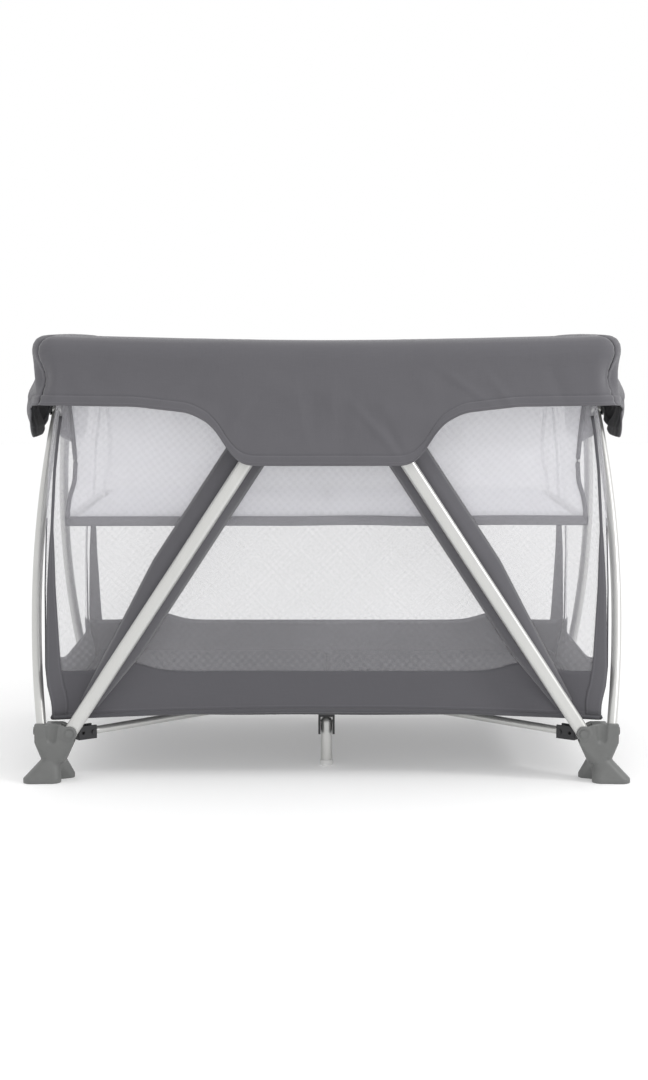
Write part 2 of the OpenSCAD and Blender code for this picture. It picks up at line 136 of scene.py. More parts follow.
def thicken(piece, thickness, offset=0.0):
    solid = piece.modifiers.new("thickness", "SOLIDIFY")
    solid.thickness, solid.offset = thickness, offset
    solid.use_rim = True
    apply(piece)


def apply(piece):
    bpy.context.view_layer.update()
    graph = bpy.context.evaluated_depsgraph_get()
    mesh = bpy.data.meshes.new_from_object(piece.evaluated_get(graph), depsgraph=graph)
    piece.modifiers.clear()
    piece.data = mesh
    smooth(mesh)


def tube(name, points, radius, material, sides=10, closed=False):
    """A round tube through points."""
    points = [Vector(p) for p in points]
    rows = []
    count = len(points)
    for i, p in enumerate(points):
        before = points[i - 1] if (i or closed) else p
        after = points[(i + 1) % count] if (i < count - 1 or closed) else p
        along = (after - before).normalized()
        side = along.cross(Vector((0, 0, 1)))
        if side.length < 1e-3:
            side = along.cross(Vector((0, 1, 0)))
        side.normalize()
        up = side.cross(along)
        r = radius(i / max(1, count - 1)) if callable(radius) else radius
        rows.append([p + (side * math.cos(a) + up * math.sin(a)) * r
                     for a in (2 * math.pi * k / sides for k in range(sides))])
    if closed:
        rows.append(rows[0])
    piece = grid(name, rows, material, closed=True)
    if not closed:
        bm = bmesh.new()
        bm.from_mesh(piece.data)
        bmesh.ops.holes_fill(bm, edges=[e for e in bm.edges if e.is_boundary])
        bm.to_mesh(piece.data)
        bm.free()
        smooth(piece.data)
    return piece


def join(name, pieces):
    """One piece made of several meshes, keeping each face's material."""
    bpy.ops.object.select_all(action="DESELECT")
    for piece in pieces:
        piece.select_set(True)
    bpy.context.view_layer.objects.active = pieces[0]
    bpy.ops.object.join()
    pieces[0].name = name
    pieces[0].data.name = name
    return pieces[0]


# ---------------------------------------------------------------- materials
class Nodes:
    """Short calls for building a material's node tree."""

    def __init__(self, name):
        self.material = bpy.data.materials.new(name)
        self.material.use_nodes = True
        self.tree = self.material.node_tree
        self.shader = self.tree.nodes["Principled BSDF"]
        self.output = self.tree.nodes["Material Output"]

    def add(self, kind, inputs=None, **settings):
        made = self.tree.nodes.new(kind)
        for key, value in settings.items():
            setattr(made, key, value)
        for key, value in (inputs or {}).items():
            if isinstance(value, bpy.types.NodeSocket):
                self.tree.links.new(value, made.inputs[key])
            else:
                made.inputs[key].default_value = value
        return made

    def math(self, operation, a, b=0.0, c=0.0, clamp=False):
        return self.add("ShaderNodeMath", {0: a, 1: b, 2: c}, operation=operation, use_clamp=clamp).outputs[0]

    def noise(self, coords, scale, detail=3.0, roughness=0.5):
        return self.add("ShaderNodeTexNoise", {"Vector": coords, "Scale": scale, "Detail": detail,
                                               "Roughness": roughness}).outputs["Fac"]

    def mix(self, factor, a, b):
        made = self.add("ShaderNodeMix", data_type="RGBA")
        for index, value in ((0, factor), (6, a), (7, b)):
            if isinstance(value, bpy.types.NodeSocket):
                self.tree.links.new(value, made.inputs[index])
            else:
                made.inputs[index].default_value = value
        return made.outputs[2]

    def bump(self, height, strength, distance, normal=None):
        inputs = {"Height": height, "Strength": strength, "Distance": distance}
        if normal:
            inputs["Normal"] = normal
        return self.add("ShaderNodeBump", inputs).outputs[0]

    def set(self, **values):
        for key, value in values.items():
            socket = self.shader.inputs[key.replace("_", " ")]
            if isinstance(value, bpy.types.NodeSocket):
                self.tree.links.new(value, socket)
            else:
                socket.default_value = value
        return self.material

    def object_coords(self):
        return self.add("ShaderNodeTexCoord").outputs["Object"]

    def uv(self):
        return self.add("ShaderNodeTexCoord").outputs["UV"]

    def sine(self, value, pitch, phase=0.0):
        """A wave from -1 to 1 with the given pitch in metres."""
        return self.math("SINE", self.math("MULTIPLY_ADD", value, 2 * math.pi / pitch, phase))


def woven(name, colour, pitch=0.0011, variation=0.16, strength=0.25, sheen=0.25, roughness=0.85, stitches=None,
          soft=0.5):
    """Plain-weave cloth with slight colour variation. stitches lists distances from the hem (uv's v) with thread."""
    n = Nodes(name)
    uv = n.uv()
    split = n.add("ShaderNodeSeparateXYZ", {0: uv})
    u, v = split.outputs[0], split.outputs[1]
    warp, weft = n.sine(u, pitch), n.sine(v, pitch)
    weave = n.math("MULTIPLY", warp, weft)
    place = n.object_coords()
    cloud = n.noise(place, 9.0, 4.0)
    slub = n.noise(n.add("ShaderNodeMapping", {"Vector": uv, "Scale": (30, 900, 1)}).outputs[0], 1.0, 2.0)
    slub2 = n.noise(n.add("ShaderNodeMapping", {"Vector": uv, "Scale": (900, 30, 1)}).outputs[0], 1.0, 2.0)
    slub = n.math("MULTIPLY", n.math("ADD", slub, slub2), 0.5)
    tone = n.math("ADD", n.math("MULTIPLY", cloud, variation), n.math("MULTIPLY", slub, variation * 2.4))
    tone = n.math("ADD", tone, n.math("MULTIPLY", weave, 0.035))
    factor = n.math("ADD", tone, soft - variation * 1.7, clamp=True)
    dark = tuple(c * 0.72 for c in colour[:3]) + (1,)
    light = tuple(min(1, c * 1.28) for c in colour[:3]) + (1,)
    base = n.mix(factor, dark, light)
    height = weave
    for distance in stitches or []:
        away = n.math("ABSOLUTE", n.math("SUBTRACT", v, distance))
        band = n.math("SUBTRACT", 1.0, n.math("MULTIPLY", away, 1100.0),
                      clamp=True)
        dash = n.math("GREATER_THAN", n.sine(u, 0.0034), -0.35)
        thread = n.math("MULTIPLY", band, dash)
        base = n.mix(n.math("MULTIPLY", thread, 0.55), base, tuple(min(1, c * 1.7) for c in colour[:3]) + (1,))
        height = n.math("ADD", height, n.math("MULTIPLY", thread, 3.0))
    pucker = n.noise(place, 60.0, 2.0)
    normal = n.bump(pucker, 0.12, 0.002)
    normal = n.bump(height, strength, 0.0003, normal)
    rough = n.math("ADD", n.math("MULTIPLY", cloud, 0.12), roughness - 0.06)
    n.set(Sheen_Weight=sheen, Sheen_Roughness=0.5, Specular_IOR_Level=0.2)
    return n.set(Base_Color=base, Roughness=rough, Normal=normal)


def net(name, colour, pitch, cover, diamond=0.0, vary=0.06, painted_glow=0.0):
    """Knitted net: a lattice of threads with clear holes. cover is the share of light that the threads stop."""
    n = Nodes(name)
    uv = n.uv()
    split = n.add("ShaderNodeSeparateXYZ", {0: uv})
    u, v = split.outputs[0], split.outputs[1]
    across = n.math("ADD", u, v)
    down = n.math("SUBTRACT", u, v)
    cells = n.math("MULTIPLY", n.sine(across, pitch), n.sine(down, pitch))
    coarse = n.math("MULTIPLY", n.sine(u, 0.0150), n.sine(v, 0.0150))
    place = n.object_coords()
    cloud = n.noise(place, 6.0, 3.0)
    alpha = n.math("ADD", n.math("MULTIPLY", cells, 0.08), cover - vary / 2)
    alpha = n.math("ADD", alpha, n.math("MULTIPLY", coarse, diamond))
    alpha = n.math("ADD", alpha, n.math("MULTIPLY", cloud, vary), clamp=True)
    base = n.mix(cloud, tuple(c * 0.94 for c in colour[:3]) + (1,), colour)
    normal = n.bump(cells, 0.2, 0.0003)
    n.shader.inputs["Sheen Weight"].default_value = 0.2
    # painted glow: emission in the thread colour stands in for light coming through the threads from behind
    n.set(Emission_Color=colour, Emission_Strength=painted_glow)
    return n.set(Base_Color=base, Roughness=0.75, Normal=normal, Alpha=alpha)


def metal_coat(name, colour, metallic=0.55, roughness=0.34, wear=0.5):
    """Satin coated tube with fine speckle."""
    n = Nodes(name)
    place = n.object_coords()
    speck = n.noise(place, 900.0, 2.0)
    smear = n.noise(n.add("ShaderNodeMapping", {"Vector": place, "Scale": (40, 40, 6)}).outputs[0], 1.0, 4.0)
    tone = n.math("ADD", n.math("MULTIPLY", speck, 0.5), n.math("MULTIPLY", smear, wear))
    base = n.mix(tone, tuple(c * 0.86 for c in colour[:3]) + (1,), tuple(min(1, c * 1.1) for c in colour[:3]) + (1,))
    rough = n.math("ADD", n.math("MULTIPLY", smear, 0.14), roughness - 0.07)
    return n.set(Base_Color=base, Metallic=metallic, Roughness=rough, Normal=n.bump(speck, 0.06, 0.0002))


def moulded(name, colour, roughness=0.5, grain=450.0, strength=0.18):
    """Moulded plastic with a fine spark texture and scuffed tone."""
    n = Nodes(name)
    place = n.object_coords()
    spark = n.noise(place, grain, 3.0)
    scuff = n.noise(place, 28.0, 5.0, 0.65)
    base = n.mix(scuff, tuple(c * 0.8 for c in colour[:3]) + (1,), tuple(min(1, c * 1.22) for c in colour[:3]) + (1,))
    rough = n.math("ADD", n.math("MULTIPLY", scuff, 0.2), roughness - 0.1)
    return n.set(Base_Color=base, Roughness=rough, Normal=n.bump(spark, strength, 0.0004))


COVER = (0.114, 0.1115, 0.122, 1)
M = {
    "cover": woven("cover_cloth", COVER, stitches=[0.004, 0.0155]),
    "band": woven("band_cloth", (0.098, 0.096, 0.106, 1), stitches=[0.012]),
    "sleeve": woven("sleeve_cloth", (0.105, 0.103, 0.113, 1), stitches=[0.0035]),
    "binding": woven("binding_tape", (0.085, 0.084, 0.092, 1), pitch=0.0018, strength=0.4),
    "bass_binding": woven("bassinet_tape", (0.15, 0.148, 0.163, 1), pitch=0.0018, strength=0.4),
    "floor": woven("floor_cloth_weave", (0.08, 0.08, 0.087, 1), sheen=0.05),
    "mattress": woven("mattress_cloth", (0.045, 0.0445, 0.049, 1), pitch=0.0014, sheen=0.0, roughness=0.95),
    "pad": woven("pad_knit", (0.60, 0.60, 0.64, 1), pitch=0.0016, sheen=0.4),
    "net": net("wall_net", (0.595, 0.59, 0.62, 1), 0.0030, 0.285, 0.030),
    # the bassinet net gets a painted glow: emission strength 0.09 brightens it inside the shaded bassinet
    "bass_net": net("bassinet_net", (0.83, 0.83, 0.86, 1), 0.0021, 0.60, 0.0, 0.16, 0.09),
    # near-black cloth for the flaps' inward faces below the rim
    "flap_back_dark": woven("flap_back_dark_cloth", (0.016, 0.016, 0.017, 1)),
    "silver": metal_coat("silver_coat", (0.60, 0.60, 0.585, 1)),
    "rail": metal_coat("rail_coat", (0.34, 0.34, 0.34, 1), 0.4, 0.42),
    "black_steel": metal_coat("black_coat", (0.022, 0.022, 0.024, 1), 0.1, 0.42),
    "pin": metal_coat("pin_steel_turned", (0.42, 0.42, 0.43, 1), 0.9, 0.3),
    "foot": moulded("foot_plastic_grey", (0.135, 0.138, 0.135, 1), 0.46),
    "heel": moulded("heel_rubber", (0.03, 0.03, 0.031, 1), 0.7),
    "black": moulded("black_plastic_hub", (0.03, 0.03, 0.032, 1), 0.5),
    "handle": moulded("handle_plastic_red", (0.45, 0.05, 0.035, 1), 0.42),
    "glide": moulded("glide_plastic_white", (0.75, 0.75, 0.74, 1), 0.35, strength=0.08),
}


def paint(node_name, material):
    """Gives a carried-over CAD node its material."""
    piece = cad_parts[node_name]
    piece.data.materials.clear()
    piece.data.materials.append(material)
    return piece


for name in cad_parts:
    if name.startswith(("long_leg", "end_leg", "base_spoke", "center_leg")):
        paint(name, M["silver"])
    elif name.startswith(("long_rail", "end_rail")):
        paint(name, M["rail"])
    elif name.startswith("center_arm"):
        paint(name, M["black_steel"])
    elif name.startswith("foot_fittings"):
        fittings = paint(name, M["black_steel"])
        fittings.data.materials.append(M["foot"])
        for polygon in fittings.data.polygons:
            centre = fittings.matrix_world @ polygon.center
            if abs(centre.y) > 0.3665 or abs(centre.x) > 0.5125:
                polygon.material_index = 1
    elif name.endswith("hub_pins"):
        paint(name, M["pin"])
    elif name.startswith("rail_corner") or name.endswith("_hub"):
        paint(name, M["black"])
    elif name == "hub_handle":
        paint(name, M["handle"])
    elif name.startswith("foot_"):
        paint(name, M["foot"])


# ---------------------------------------------------------------- camera, light and floor
CAMERA_HEIGHT = 0.780
CAMERA_BACK = 3.88
camera_data = bpy.data.cameras.new("camera")
camera = bpy.data.objects.new("camera", camera_data)
bpy.context.scene.collection.objects.link(camera)
camera.location = (-0.0046, -CAMERA_BACK, CAMERA_HEIGHT)
camera.rotation_euler = (math.radians(90 - 5.69), 0, 0)
camera_data.lens = 67.6
camera_data.sensor_width = 36
bpy.context.scene.camera = camera

ground_mesh = bpy.data.meshes.new("ground")
ground_mesh.from_pydata([(-9, -7, 0), (9, -7, 0), (9, 11, 0), (-9, 11, 0)], [], [(0, 1, 2, 3)])
floor_nodes = Nodes("pale_floor")
ground = new_piece("ground", ground_mesh, floor_nodes.set(
    Base_Color=(0.73, 0.73, 0.73, 1), Roughness=0.7, Emission_Color=(1, 1, 1, 1), Emission_Strength=0.27))

world = bpy.data.worlds.new("studio")
bpy.context.scene.world = world
world.use_nodes = True
world.node_tree.nodes["Background"].inputs[0].default_value = (1, 1, 1, 1)
world.node_tree.nodes["Background"].inputs[1].default_value = 1.0
bpy.context.scene.view_settings.view_transform = "Standard"


def area_light(name, place, aim, size, power):
    data = bpy.data.lights.new(name, "AREA")
    data.size, data.energy = size, power
    light = bpy.data.objects.new(name, data)
    bpy.context.scene.collection.objects.link(light)
    light.location = place
    light.rotation_euler = (Vector(aim) - Vector(place)).to_track_quat("-Z", "Y").to_euler()


area_light("top_light", (0.6, -1.2, 3.4), (0, 0, 0.3), 2.0, 16)
area_light("right_light", (3.0, -1.5, 2.0), (0, 0, 0.4), 0.5, 34)


# ---------------------------------------------------------------- rim and flap
def interpolate(x, points):
    return float(np.interp(x, [p[0] for p in points], [p[1] for p in points]))


def eased(x, points, width):
    """interpolate, with its corners rounded over width."""
    offsets = np.linspace(-width, width, 9)
    return sum(interpolate(abs(x + o), points) for o in offsets) / len(offsets)


# height of the hem against the distance from the side's middle
LONG_HEM = [(0, 0.561), (0.140, 0.561), (0.163, 0.575), (0.175, 0.596), (0.198, 0.631), (0.236, 0.652),
            (0.330, 0.663), (0.60, 0.667)]
END_HEM = [(0, 0.594), (0.070, 0.595), (0.095, 0.606), (0.130, 0.640), (0.165, 0.660), (0.45, 0.667)]


def rim_section(hem_z, top_z, bulge, inner):
    """Points (outward, height) from inside the rim, over it and down to the hem, outward from the rim's face."""
    top = [(-inner, 0.742), (-inner - 0.0015, 0.757), (-inner - 0.0005, top_z - 0.006),
           (-inner + 0.006, top_z - 0.0005),
           (-inner / 2, top_z), (-0.016, top_z - 0.001), (-0.006, top_z - 0.006), (-0.0005, top_z - 0.016),
           (0.0, top_z - 0.030)]
    fall = []
    start = top_z - 0.030
    for k in range(1, 25):
        t = k / 24
        z = start + (hem_z - start) * t
        out = bulge * math.sin(math.pi * min(1, t * 1.15) ** 1.5 * 0.62)
        out -= 0.0045 * math.sin(math.pi * t) * (1 - bulge * 25)
        fall.append((out, z))
    return top + fall


def resample(points, coarse, fine):
    """Points along a line, after rounding it a little: coarse ones, then fine ones over the last 24 mm."""
    pts = np.array(points, float)
    for _ in range(2):
        pts[1:-1] = pts[1:-1] * 0.5 + (pts[:-2] + pts[2:]) * 0.25
    steps = np.r_[0, np.cumsum(np.linalg.norm(np.diff(pts, axis=0), axis=1))]
    hem = steps[-1] - 0.024
    even = np.r_[np.linspace(0, hem, coarse, endpoint=False), np.linspace(hem, steps[-1], fine)]
    return np.c_[np.interp(even, steps, pts[:, 0]), np.interp(even, steps, pts[:, 1])], steps[-1] - even


def rim_path(half_along, half_out, count):
    """Points and outward directions along one side of the rim, from corner to corner, in (along, outward)."""
    straight = half_along - RIM_RADIUS
    arc = RIM_RADIUS * math.pi / 4
    total = 2 * (straight + arc)
    out = []
    for i in range(count):
        s = -total / 2 + total * i / (count - 1)
        if abs(s) <= straight:
            out.append((s, half_out, 0.0, 1.0))
        else:
            a = (abs(s) - straight) / RIM_RADIUS
            sign = math.copysign(1, s)
            out.append((sign * (straight + RIM_RADIUS * math.sin(a)), half_out - RIM_RADIUS * (1 - math.cos(a)),
                        sign * math.sin(a), math.cos(a)))
    return out


def fold(along, z, across, down, slope, width, depth):
    """A soft diagonal crease through (across, down) that fades along its length."""
    offset = (along - across) - (z - down) * slope
    length = (z - down) * math.hypot(1, slope)
    return depth * math.exp(-(offset / width) ** 2 - (length / 0.055) ** 2)


LONG_FOLDS = [
    (0.085, 0.622, -0.9, 0.008, 0.0050), (-0.150, 0.650, 0.7, 0.009, 0.0036), (0.035, 0.640, 0.15, 0.007, -0.0012),
    (0.010, 0.650, 0.0, 0.006, 0.0020), (-0.022, 0.645, -0.1, 0.007, -0.0010), (-0.045, 0.655, -0.2, 0.005, 0.0022),
    (0.235, 0.700, -1.4, 0.010, 0.0042), (-0.260, 0.690, 1.2, 0.011, 0.0036), (0.395, 0.710, -0.4, 0.012, -0.0034),
    (-0.380, 0.715, 0.6, 0.012, 0.0030), (0.120, 0.600, -0.5, 0.006, -0.0026), (0.300, 0.690, -0.8, 0.009, 0.0028),
]


def flap(name, half_along, half_out, inner, hem, place, mid_top, bulge_of, seed, over_hub=0.0):
    """One side of the rim and its flap. place turns (along, outward, z) into a point of the frame."""
    rows, uv = [], []
    count = 181
    for along, out, na, no in rim_path(half_along, half_out, count):
        hem_z = eased(along, hem, 0.014)
        share = min(1, abs(along) / half_along)
        top_z = mid_top + (RIM_END_Z - mid_top) * share ** 1.6
        corner = max(0, (abs(along) - (half_along - RIM_RADIUS)) / (RIM_RADIUS * 0.7071))
        top_z -= 0.005 * corner ** 3
        section, from_hem = resample(rim_section(hem_z, top_z, bulge_of(along), inner), 42, 14)
        near_seam = math.exp(-max(0, half_along - 0.013 - abs(along)) / 0.016)
        row, marks = [], []
        for (d, z), below_edge in zip(section, from_hem):
            below = max(0.0, (RIM_END_Z - z) / 0.2)
            soft = min(1, 0.15 + below * 1.3)
            pull = (0.0046 * ripple((along * 0.8, out, z * 1.5), 9, seed)
                    + 0.0022 * ripple((along, out, z), 27, seed + 3)) * soft * min(1, below_edge / 0.05 + 0.35)
            pull += sum(fold(along, z, *f) for f in LONG_FOLDS) * (0.8 + 0.2 * seed / 7) * soft
            # gathers beside the corner seam
            phase = z * 2 * math.pi / 0.0125 + 2 * ripple((along, z, 0), 30, seed)
            pull += 0.0011 * near_seam * math.sin(phase) * soft
            pull -= 0.0016 * math.exp(-((half_along - 0.0132 - abs(along)) / 0.0022) ** 2)
            # the flap draws in under the corners of the rim
            waist = -0.012 * min(1, corner * 1.5) * math.exp(-((z - 0.711) / 0.030) ** 2)
            # raised hem with a sunk line of stitching above it
            raised = 0.0009 * min(1, max(0, 0.0165 - below_edge) / 0.002)
            sunk = -0.0012 * math.exp(-((below_edge - 0.0165) / 0.0016) ** 2)
            # room for the hub's outer plate
            room = over_hub * math.exp(-(along / 0.118) ** 4) * max(0.0, 1 + d / inner) * min(1, below_edge / 0.08)
            pull += waist + raised + sunk + room
            row.append(place(along + na * (d + pull), out + no * (d + pull), z))
            marks.append((along, below_edge))
        rows.append(row)
        uv.append(marks)
    piece = grid(name, rows, M["cover"], uv=uv)
    thicken(piece, 0.0014, 1.0 if name.endswith(("rear", "left")) else -1.0)
    # the flap's inward faces below the rim, facing the walls, get the near-black cloth
    piece.data.materials.append(M["flap_back_dark"])
    for polygon in piece.data.polygons:
        c, n = polygon.center, polygon.normal
        outer = max(abs(c.x) / RIM_X, abs(c.y) / RIM_Y)
        if c.z < 0.742 and outer > 0.93 and n.x * c.x / RIM_X ** 2 + n.y * c.y / RIM_Y ** 2 < 0 and abs(n.z) < 0.7:
            polygon.material_index = 1
    return piece, rows


def long_place(side):
    return lambda a, o, z: (a, side * o, z)


def end_place(side):
    return lambda a, o, z: (side * o, a, z)


def hem_roll(name, rows, material):
    """The folded edge that runs along the hem."""
    return tube(name, [row[-1] for row in rows], 0.0014, material, 8)


for side_name, side in LONG_SIDES.items():
    def long_bulge(along):
        return 0.0025 * math.exp(-(along / 0.16) ** 4)
    piece, rows = flap("flap_" + side_name, RIM_X, RIM_Y, 0.0605, LONG_HEM, long_place(side), RIM_MID_Z,
                       long_bulge, 3.0 * side)
    roll = hem_roll("flap_hem_" + side_name, rows, M["cover"])
    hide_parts("cover_" + side_name)
    for p in (piece, roll):
        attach(p, side_name + "_hub")
        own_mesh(p)

for side_name, side in END_SIDES.items():
    def end_bulge(along):
        return 0.040 * math.exp(-(along / 0.20) ** 4)
    piece, rows = flap("flap_" + side_name, RIM_Y, RIM_X, 0.0605, END_HEM, end_place(side), 0.7888,
                       end_bulge, 7.0 * side, over_hub=0.0085)
    roll = hem_roll("flap_hem_" + side_name, rows, M["cover"])
    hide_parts("cover_" + side_name)
    for p in (piece, roll):
        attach(p, side_name + "_hub")
        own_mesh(p)


# ---------------------------------------------------------------- walls
# half length of the wall at its corners against height: it reaches out to the bowed end tubes
CORNER_Z = [0.125, 0.140, 0.165, 0.200, 0.340, 0.450, 0.550, 0.620, 0.680, 0.751]
CORNER_X = [0.4845, 0.4865, 0.4925, 0.4960, 0.4960, 0.4925, 0.4870, 0.4790, 0.4690, 0.4635]


def end_half(along, z):
    """Distance of an end wall from the middle: the straight slope at its middle, wider at its corners."""
    t = (WALL_TOP - z) / (WALL_TOP - WALL_BOTTOM_Z)
    narrow = WALL_TOP_X + (WALL_BOTTOM_X - WALL_TOP_X) * t
    u = min(1.0, max(0.0, (abs(along) - 0.13) / 0.15))
    return narrow + (float(np.interp(z, CORNER_Z, CORNER_X)) - narrow) * u * u * (3 - 2 * u)


def wall_point(kind, side, along, z, out=0.0):
    """A point on a side's wall, out metres outside it."""
    t = (WALL_TOP - z) / (WALL_TOP - WALL_BOTTOM_Z)
    if kind == "long":
        return Vector((along, side * (WALL_TOP_Y + (WALL_BOTTOM_Y - WALL_TOP_Y) * t + out), z))
    return Vector((side * (end_half(along, z) + out), along, z))


def wall_half(kind, z):
    t = (WALL_TOP - z) / (WALL_TOP - WALL_BOTTOM_Z)
    if kind == "long":
        return float(np.interp(z, CORNER_Z, CORNER_X))
    return WALL_TOP_Y + (WALL_BOTTOM_Y - WALL_TOP_Y) * t


def bottom_z(kind, along):
    """The lower edge rises a little towards the middle of each side."""
    half = WALL_BOTTOM_X if kind == "long" else WALL_BOTTOM_Y
    return WALL_BOTTOM_Z + (0.013 if kind == "long" else 0.005) * (1 - (along / half) ** 2)


def wall_sheet(name, kind, side, low, high, material, out, columns, rows_count, wave=0.0, edge=1.0):
    """A sheet on a wall between the heights low(along) and high(along)."""
    rows = []
    for i in range(rows_count):
        t = i / (rows_count - 1)
        row = []
        for j in range(columns):
            s = -1 + 2 * j / (columns - 1)
            z_guess = low(s) * (1 - t) + high(s) * t
            along = s * wall_half(kind, z_guess) * edge
            z = low(along) * (1 - t) + high(along) * t
            p = wall_point(kind, side, along, z, out)
            shift = wave * ripple(p, 5.0, 1.7 * side) * math.sin(math.pi * t) * (1 - s * s)
            row.append(wall_point(kind, side, along, z, out + shift))
        rows.append(row)
    return grid(name, rows, material)


def band_top(kind):
    def height(along):
        # the band climbs where it meets the sloping tubes
        leg = LEG_FOOT.x - (BAND_TOP_Z - LEG_FOOT.z) / (LEG_HUB.z - LEG_FOOT.z) * (LEG_FOOT.x - LEG_HUB.x)
        if kind == "end":
            leg = END_LEG_FOOT.y - 0.06
        near = math.exp(-((abs(along) - leg + 0.03) / 0.045) ** 2)
        return BAND_TOP_Z - 0.004 + 0.016 * near
    return height


def strip(name, kind, side, line, half_width, material, out, count=60, crown_of=None):
    """A strip of cloth on a wall along line(t) -> (along, z), with its two half widths from half_width(t).
    crown_of(t) is how far its middle stands out from the wall."""
    rows, uv = [], []
    for i in range(count):
        t = i / (count - 1)
        a, z = line(t)
        b, y = line(min(1, t + 0.01))
        c, x = line(max(0, t - 0.01))
        along = Vector((b - c, y - x)).normalized()
        normal = Vector((along.y, -along.x))
        left, right = half_width(t)
        row, marks = [], []
        rise = crown_of(t) if crown_of else 0.0012
        for k in range(13):
            w = -left + (left + right) * k / 12
            inside = max(0.0, 1 - abs(w) / (right if w > 0 else left))
            crown = rise * min(1, inside * 1.9) ** 0.8
            row.append(wall_point(kind, side, a + normal.x * w, z + normal.y * w, out + crown))
            marks.append((t * 0.6, min(w + left, right - w)))
        rows.append(row)
        uv.append(marks)
    piece = grid(name, rows, material, uv=uv)
    thicken(piece, 0.0009)
    return piece


def sleeve(name, kind, side, sign, tube_half):
    """The cloth strip behind a sloping tube: wide outside it, narrower inside, tapered at its lower end."""
    foot = (LEG_FOOT.x, LEG_FOOT.z) if kind == "long" else (END_LEG_FOOT.y, END_LEG_FOOT.z)
    hub = (LEG_HUB.x, LEG_HUB.z) if kind == "long" else (END_LEG_HUB.y, END_LEG_HUB.z)
    start = 0.085 if kind == "long" else 0.90

    def line(t):
        s = start + (1.03 - start) * t
        return sign * (foot[0] + (hub[0] - foot[0]) * s), foot[1] + (hub[1] - foot[1]) * s

    def widths(t):
        outer = tube_half + 0.003 + 0.028 * min(1, t * 2.2)
        inner = tube_half + 0.003 + 0.014 * min(1, t * 5)
        return (outer, inner) if sign < 0 else (inner, outer)

    def crown_of(t):
        s = start + (1.03 - start) * t
        _, z = line(t)
        wall = abs(wall_point(kind, 1, 0, z)[1 if kind == "long" else 0])
        tube_face = LEG_Y - 0.0115 if kind == "long" else END_LEG_X + 4 * END_LEG_BOW * s * (1 - s) - 0.0115
        return max(0.001, tube_face - wall - 0.003) * min(1, 0.25 + 5 * t)
    return strip(name, kind, side, line, widths, M["sleeve"], 0.0022, crown_of=crown_of)


def corner_widths(t, sign, kind):
    """The corner strip is widest low down, where it reaches out to the end tube, and narrows to a piping."""
    low = max(0.0, 1 - t / 0.62) ** 0.6
    outer = 0.0105 + (0.0125 * low * min(1, 0.45 + 8 * t) if kind == "long" else 0.0)
    inner = 0.0012 + 0.0085 * low
    outer = 0.0035 + (outer - 0.0035) * low
    return (outer, inner) if sign > 0 else (inner, outer)


def build_wall(side_name, kind, side):
    body = side_name + "_hub"
    half_bottom = WALL_BOTTOM_X if kind == "long" else WALL_BOTTOM_Y
    columns = 81 if kind == "long" else 61
    top = band_top(kind)

    def low(along):
        return bottom_z(kind, along)
    made = []
    mesh_wall = wall_sheet("net_" + side_name, kind, side, lambda a: top(a) - 0.008, lambda a: WALL_TOP, M["net"],
                           0.0, columns, 41, 0.004)
    band = wall_sheet("band_" + side_name, kind, side, low, top, M["band"], 0.0008, columns, 15, 0.003)
    thicken(band, 0.0011)
    edge_points = [wall_point(kind, side, a, low(a) + 0.003, 0.0012)
                   for a in np.linspace(-half_bottom, half_bottom, 61)]
    binding = tube("binding_" + side_name, edge_points, 0.0042, M["binding"], 10)
    for sign in (-1, 1):
        made.append(sleeve(f"sleeve_{side_name}_{'a' if sign < 0 else 'b'}", kind, side, sign, 0.0125))
        # corner strip: solid cloth up the lower part of each corner
        strip_top = 0.640 if kind == "long" else 0.460

        def line(t, s=sign):
            z = WALL_BOTTOM_Z + 0.004 + (strip_top - WALL_BOTTOM_Z) * t
            return s * (wall_half(kind, z) - 0.008), z
        made.append(strip(f"corner_strip_{side_name}_{'a' if sign < 0 else 'b'}", kind, side, line,
                          lambda t, s=sign: corner_widths(t, s, kind), M["sleeve"], 0.0016, 40))
        # thin piping up the rest of the corner
        piping = [wall_point(kind, side, sign * wall_half(kind, z), z, 0.0006)
                  for z in np.linspace(strip_top - 0.01, WALL_TOP, 20)]
        made.append(tube(f"piping_{side_name}_{'a' if sign < 0 else 'b'}", piping, 0.0017, M["net"], 8))
    for p in [mesh_wall, band, binding, *made]:
        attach(p, body)
        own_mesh(p)
    return mesh_wall


for side_name, side in LONG_SIDES.items():
    build_wall(side_name, "long", side)
for side_name, side in END_SIDES.items():
    build_wall(side_name, "end", side)


# ---------------------------------------------------------------- bassinet
BASS_TOP = 0.761
BASS_BOTTOM = bass_low.z


# half length and half width against height: the pad spreads the foot of the wall, and the net above it is slack
BASS_T = [0.0, 0.08, 0.16, 0.25, 0.36, 0.5, 0.7, 0.88, 1.0]
BASS_X = [0.459, 0.4595, 0.456, 0.4475, 0.4455, 0.449, 0.455, 0.459, 0.4612]
BASS_Y = [0.3080, 0.3085, 0.3065, 0.3020, 0.3010, 0.3030, 0.3080, 0.3125, 0.3140]


def bassinet_point(kind, side, s, t, out=0.0):
    """s runs from -1 to 1 along the side, t from 0 at the bottom to 1 at the top."""
    z = BASS_BOTTOM + (BASS_TOP - BASS_BOTTOM) * t
    x = float(np.interp(t, BASS_T, BASS_X))
    y = float(np.interp(t, BASS_T, BASS_Y))
    if kind == "long":
        return Vector((s * x, side * (y + out), z))
    return Vector((side * (x + out), s * y, z))


